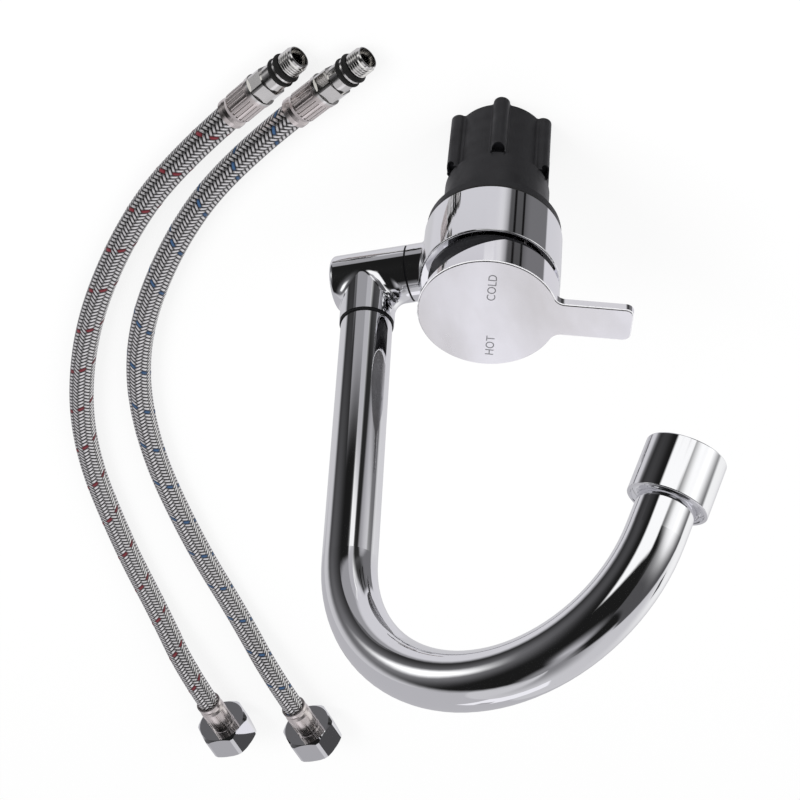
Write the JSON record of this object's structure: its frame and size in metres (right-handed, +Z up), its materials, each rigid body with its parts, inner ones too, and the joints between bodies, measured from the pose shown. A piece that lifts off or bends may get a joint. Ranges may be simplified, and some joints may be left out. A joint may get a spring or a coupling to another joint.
{
  "type": "mixer tap",
  "caption": "Single-lever mixer tap with a fold-down swan-neck spout on a side elbow, a ribbed backnut and a pair of braided connecting hoses.",
  "frame": {"origin": "centre of the body where its underside stands on the deck", "axes": "+Z up along the body and shank, -X out along the side stub that carries the spout, the lever points about along +X"},
  "size_m": [0.3152, 0.4033, 0.2483],
  "materials": {
    "chrome": "polished",
    "brass": "turned",
    "nickel": "bright nickel plate",
    "ferrule": "crimped, fluted",
    "steel": "plain",
    "black_plastic": "moulded",
    "cartridge_plastic": "moulded",
    "ceramic": "lapped",
    "aerator_plastic": "moulded",
    "black_rubber": "moulded",
    "braided_hose": "stainless braid over rubber"
  },
  "bodies": {
    "tap": {"body_shell": "chrome", "base_seal": "black_rubber", "threaded_shank": "brass", "cartridge_base": "cartridge_plastic", "inlet_seals": "black_rubber", "fixed_disc": "ceramic", "cartridge_housing": "cartridge_plastic", "retaining_nut": "brass", "retaining_nut_seal": "black_rubber", "dome_cap": "black_plastic", "fold_washer": "aerator_plastic", "fold_lock_screw": "steel", "hot_hose_tube": "braided_hose", "hot_hose_connector": "nickel", "hot_hose_seals": "black_rubber", "hot_inlet_ferrule": "ferrule", "hot_hose_tail": "nickel", "hot_nut_washer": "black_rubber", "hot_outlet_ferrule": "ferrule", "cold_hose_tube": "braided_hose", "cold_hose_connector": "nickel", "cold_hose_seals": "black_rubber", "cold_inlet_ferrule": "ferrule", "cold_hose_tail": "nickel", "cold_nut_washer": "black_rubber", "cold_outlet_ferrule": "ferrule"},
    "mixer": {"cartridge_rotor": "cartridge_plastic", "spindle_pin": "steel"},
    "lever": {"handle": "chrome", "handle_screw": "steel", "spindle": "steel"},
    "disc_slider": {"moving_disc": "ceramic", "disc_carrier": "cartridge_plastic"},
    "fold_elbow": {"elbow": "chrome", "fold_sleeve": "brass", "fold_seals": "black_rubber", "swivel_lock_screw": "steel"},
    "spout": {"spout_tube": "chrome", "spout_tail": "brass", "spout_seals": "black_rubber", "swivel_ring": "aerator_plastic", "spout_end_ring": "chrome", "aerator_shell": "chrome", "aerator_washer": "black_rubber", "aerator_insert": "aerator_plastic"},
    "clamp": {"clamp_washer": "black_rubber"},
    "nut": {"backnut": "black_plastic"},
    "hot_nut": {"hot_union_nut": "chrome"},
    "cold_nut": {"cold_union_nut": "chrome"}
  },
  "joints": [
    {"name": "mixer_turn", "type": "hinge", "parent": "tap", "child": "mixer", "pos_m": [0, 0, 0.016], "axis": [0, 0, 1], "range_deg": [-27, 63]},
    {"name": "lever_lift", "type": "hinge", "parent": "mixer", "child": "lever", "pos_m": [0, 0, 0.016], "axis": [-0.309, -0.9511, 0], "range_deg": [0, 22]},
    {"name": "disc_slide", "type": "slide", "parent": "mixer", "child": "disc_slider", "axis": [0.9511, -0.309, 0], "range_m": [0, 0.0034]},
    {"name": "spout_fold", "type": "hinge", "parent": "tap", "child": "fold_elbow", "pos_m": [-0.0444, 0, 0.0111], "axis": [1, 0, 0], "range_deg": [-7.9, 82.1]},
    {"name": "spout_swivel", "type": "hinge", "parent": "fold_elbow", "child": "spout", "pos_m": [-0.0444, 0, 0.0111], "axis": [0, -0.1374, 0.9905], "range_deg": [-75.3, 44.7]},
    {"name": "nut_travel", "type": "slide", "parent": "tap", "child": "clamp", "axis": [0, 0, -1], "range_m": [0, 0.018]},
    {"name": "nut_turn", "type": "hinge", "parent": "clamp", "child": "nut", "pos_m": [0, 0, -0.03], "axis": [0, 0, -1], "range_deg": [0, 4320]},
    {"name": "hot_union_turn", "type": "hinge", "parent": "tap", "child": "hot_nut", "pos_m": [-0.222, -0.314, -0.04315], "axis": [0.0787, -0.9969, 0], "continuous": true},
    {"name": "cold_union_turn", "type": "hinge", "parent": "tap", "child": "cold_nut", "pos_m": [-0.1804, -0.3245, -0.04315], "axis": [0.1073, -0.9942, 0], "continuous": true}
  ],
  "couplings": [
    {"joint": "disc_slide", "follows": "lever_lift", "m_per_rad": 0.0088},
    {"joint": "nut_turn", "follows": "nut_travel", "rad_per_m": 4188.8}
  ]
}
